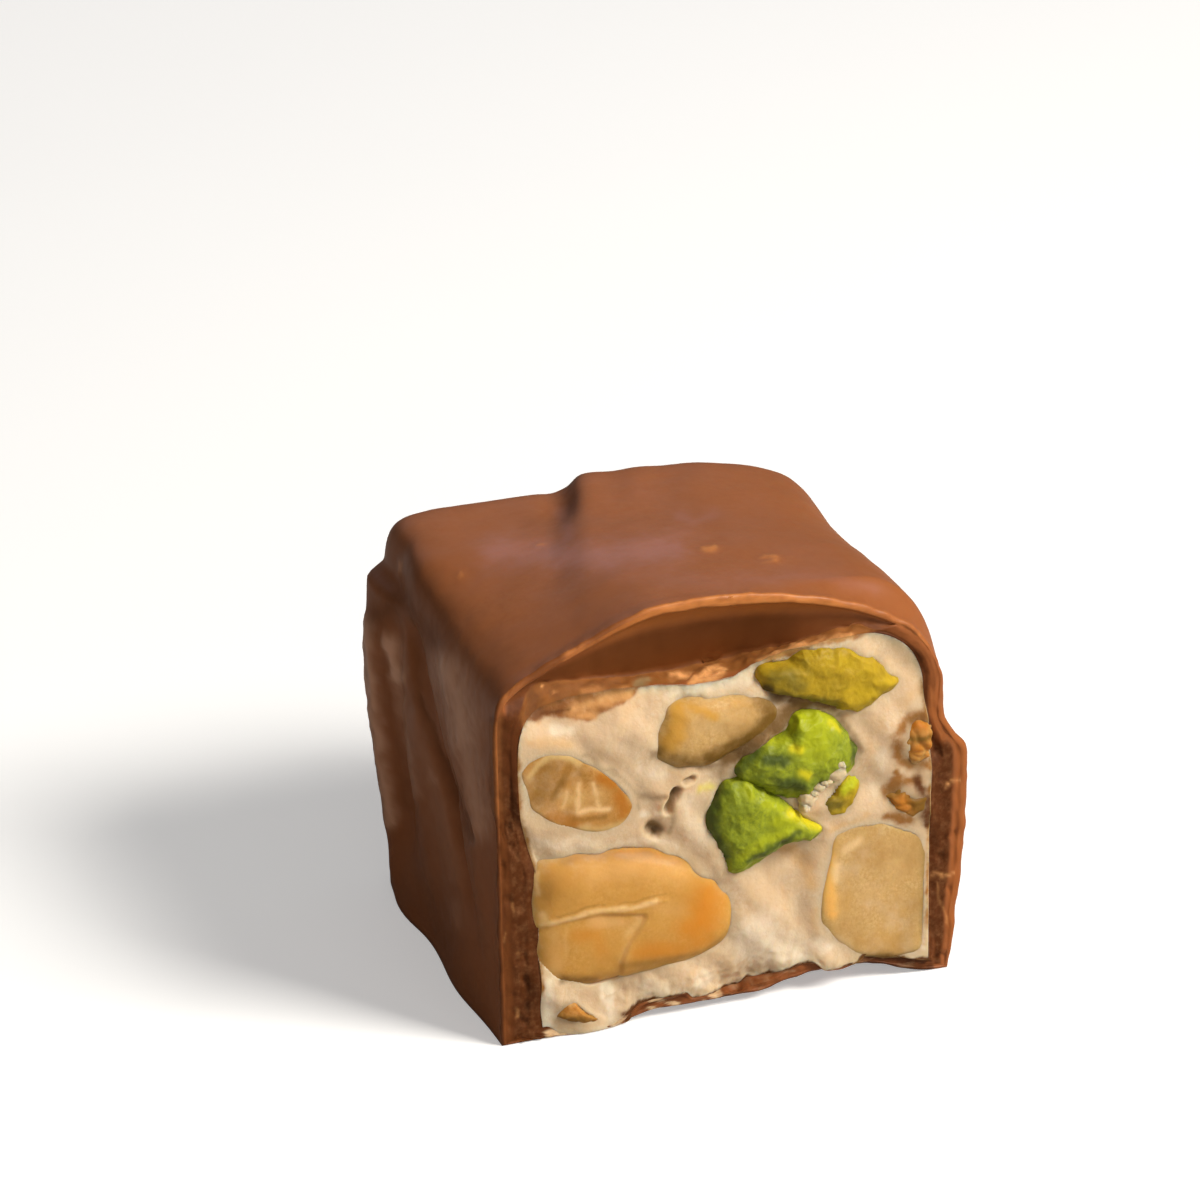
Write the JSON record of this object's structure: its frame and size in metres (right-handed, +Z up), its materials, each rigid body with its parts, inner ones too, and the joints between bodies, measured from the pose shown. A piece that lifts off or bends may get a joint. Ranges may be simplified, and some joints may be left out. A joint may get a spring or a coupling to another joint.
{
  "type": "nougat bar half",
  "caption": "Half of a milk-chocolate-coated nougat bar, cut across so that the pale filling with almonds and pistachios shows.",
  "frame": {"origin": "middle of the base of the bounding box, on the surface that the half stands on", "axes": "+X across the bar, to the right when looking at the cut; +Y away from the cut, towards the rounded end; +Z up"},
  "size_m": [0.0339, 0.0284, 0.029],
  "materials": {
    "milk_chocolate": "satin",
    "nougat": "matte",
    "toasted_nut": "satin",
    "roasted_nut": "matte",
    "pale_nut": "matte",
    "olive_pistachio": "satin",
    "green_pistachio": "satin"
  },
  "bodies": {
    "root": {"chocolate_coating": "milk_chocolate", "nougat": "nougat", "almond_long": "toasted_nut", "almond_left": "roasted_nut", "almond_upper": "pale_nut", "almond_right": "pale_nut", "pistachio_olive": "olive_pistachio", "pistachio_upper": "green_pistachio", "pistachio_lower": "green_pistachio", "pistachio_chip": "olive_pistachio", "crumb_upper_right": "roasted_nut", "crumb_lower_right": "roasted_nut", "chip_bottom_left": "roasted_nut"}
  },
  "joints": []
}
